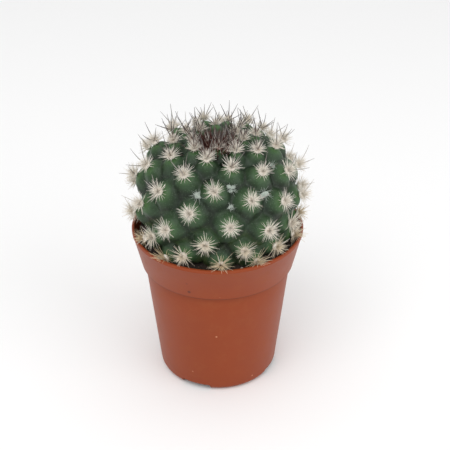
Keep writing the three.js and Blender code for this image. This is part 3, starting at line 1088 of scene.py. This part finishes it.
class CACTUS_OT_axil_wool(bpy.types.Operator):
    """Models the tufts of pale wool in some of the hollows between tubercles"""

    bl_idname = "cactus.axil_wool"
    bl_label = "Axil wool"
    bl_options = {"REGISTER", "UNDO"}

    def execute(self, context):
        draw = random.Random(21)
        hair = spine_shape(sides=3, cuts=2)
        lump = lump_shape(3, 4, 0.3)
        material = plant_wool()
        for number, (corners, size) in enumerate(WOOLLY, start=1):
            axil, outward = self.hollow_between([AREOLES[index] for index in corners])
            wool = Gathering()
            colour = mixed(linear("#A3B0A4"), linear("#CCD6CC"), draw.random())
            points, faces = lump
            turn = np.array(Areole(axil, outward).frame())[:3, :3]
            for _ in range(WOOL_LUMPS):
                shift = np.array([draw.uniform(-0.35, 0.35), draw.uniform(-0.3, 0.3), 0])
                stretch = np.array([draw.uniform(0.35, 0.65), draw.uniform(0.35, 0.6), 0.5])
                placed = (points * stretch + shift) * size @ turn.T + np.array(axil)
                wool.add(placed, faces, np.tile(colour, (len(points), 1)))
            across = outward.orthogonal().normalized()
            other = outward.cross(across)
            for _ in range(WOOL_HAIRS):
                angle = draw.uniform(0, math.tau)
                flat = across * math.cos(angle) + other * math.sin(angle)
                root = axil + flat * size * 0.45 * draw.random()
                way = flat + outward * draw.uniform(0.1, 0.8)
                bend = Vector([draw.uniform(-0.6, 0.6) * MM for _ in range(3)])
                length = size * draw.uniform(0.3, 0.75)
                add_spine(wool, hair, root, way, length, 0.12 * MM, bend, (colour, colour, colour))
            name = f"axil_wool_{number:02d}"
            finish_piece(wool.build(name), name, material)
        return {"FINISHED"}

    def hollow_between(self, corners):
        """The place on the skin in the middle of some areoles, and the way out of it."""
        middle = sum((corner.place for corner in corners), Vector()) / len(corners)
        outward = sum((corner.axis for corner in corners), Vector()).normalized()
        found = bpy.data.objects["green_stem"].ray_cast(middle + outward * 4 * MM, -outward)
        place = found[1] if found[0] else middle
        return place + outward * 0.4 * MM, outward


# ------------------------------------------------------------------ stage


class CACTUS_OT_stage(bpy.types.Operator):
    """Sets the pale floor, the soft studio lights and the camera"""

    bl_idname = "cactus.stage"
    bl_label = "Stage"
    bl_options = {"REGISTER", "UNDO"}

    def execute(self, context):
        settings = context.scene.cactus_stage
        scene = context.scene
        select_only()
        bpy.ops.mesh.primitive_plane_add(size=3)
        floor = context.object
        floor.name = "studio_floor"
        floor.data.materials.append(studio_paper(settings))
        self.add_camera(scene)
        self.add_light("key", (-0.25, -0.45, 0.75), 0.6, settings.key_power)
        self.add_light("fill", (0.5, -0.35, 0.35), 0.5, settings.fill_power)
        world = bpy.data.worlds.new("white_surround")
        world.use_nodes = True
        world.node_tree.nodes["Background"].inputs["Color"].default_value = (1, 1, 1, 1)
        world.node_tree.nodes["Background"].inputs["Strength"].default_value = settings.sky
        scene.world = world
        scene.view_settings.view_transform = "Standard"
        return {"FINISHED"}

    def add_camera(self, scene):
        """The camera stands 300 mm from the middle of the plant and looks down at it."""
        elevation, distance = math.radians(31.63), 300 * MM
        target = Vector((2.39 * MM, 0, 52.66 * MM))
        bpy.ops.object.camera_add()
        camera = bpy.context.object
        camera.name = "front_camera"
        camera.location = target + distance * Vector((0, -math.cos(elevation), math.sin(elevation)))
        camera.rotation_euler = (math.pi / 2 - elevation, 0, 0)
        camera.data.sensor_width = 36
        camera.data.lens = 74.6
        camera.data.clip_start = 0.01
        scene.camera = camera

    def add_light(self, name, place, size, power):
        bpy.ops.object.light_add(type="AREA", location=place)
        light = bpy.context.object
        light.name = f"{name}_light"
        light.data.size = size
        light.data.energy = power
        aim = Vector((0, 0, 0.05)) - light.location
        light.rotation_euler = aim.to_track_quat("-Z", "Y").to_euler()


# ------------------------------------------------------------------ panel and registration


class CACTUS_PT_panel(bpy.types.Panel):
    """Lists the sizes, colours and pieces of the plant"""

    bl_label = "Potted cactus"
    bl_idname = "CACTUS_PT_panel"
    bl_space_type = "VIEW_3D"
    bl_region_type = "UI"
    bl_category = "Cactus"

    def draw(self, context):
        for group in SETTINGS:
            box = self.layout.box()
            box.label(text=group.removeprefix("cactus_").title())
            settings = getattr(context.scene, group)
            for name in settings.bl_rna.properties.keys():
                if name not in ("rna_type", "name"):
                    box.prop(settings, name)
        for operator in OPERATORS:
            self.layout.operator(operator.bl_idname)


SETTINGS = {
    "cactus_pot": PotSettings,
    "cactus_soil": SoilSettings,
    "cactus_stem": StemSettings,
    "cactus_spines": SpineSettings,
    "cactus_stage": StageSettings,
}
OPERATORS = (
    CACTUS_OT_stage,
    CACTUS_OT_pot,
    CACTUS_OT_soil,
    CACTUS_OT_crumbs,
    CACTUS_OT_stem,
    CACTUS_OT_spine_clusters,
    CACTUS_OT_crown_spines,
    CACTUS_OT_axil_wool,
)


def register():
    for group, kind in SETTINGS.items():
        bpy.utils.register_class(kind)
        setattr(bpy.types.Scene, group, PointerProperty(type=kind))
    for kind in (*OPERATORS, CACTUS_PT_panel):
        bpy.utils.register_class(kind)


def unregister():
    for kind in (CACTUS_PT_panel, *reversed(OPERATORS)):
        bpy.utils.unregister_class(kind)
    for group, kind in SETTINGS.items():
        delattr(bpy.types.Scene, group)
        bpy.utils.unregister_class(kind)


def main():
    register()
    bpy.ops.cactus.stage()
    bpy.ops.cactus.pot()
    bpy.ops.cactus.soil()
    bpy.ops.cactus.crumbs()
    bpy.ops.cactus.stem()
    bpy.ops.cactus.spine_clusters()
    bpy.ops.cactus.crown_spines()
    bpy.ops.cactus.axil_wool()


if __name__ == "__main__":
    main()
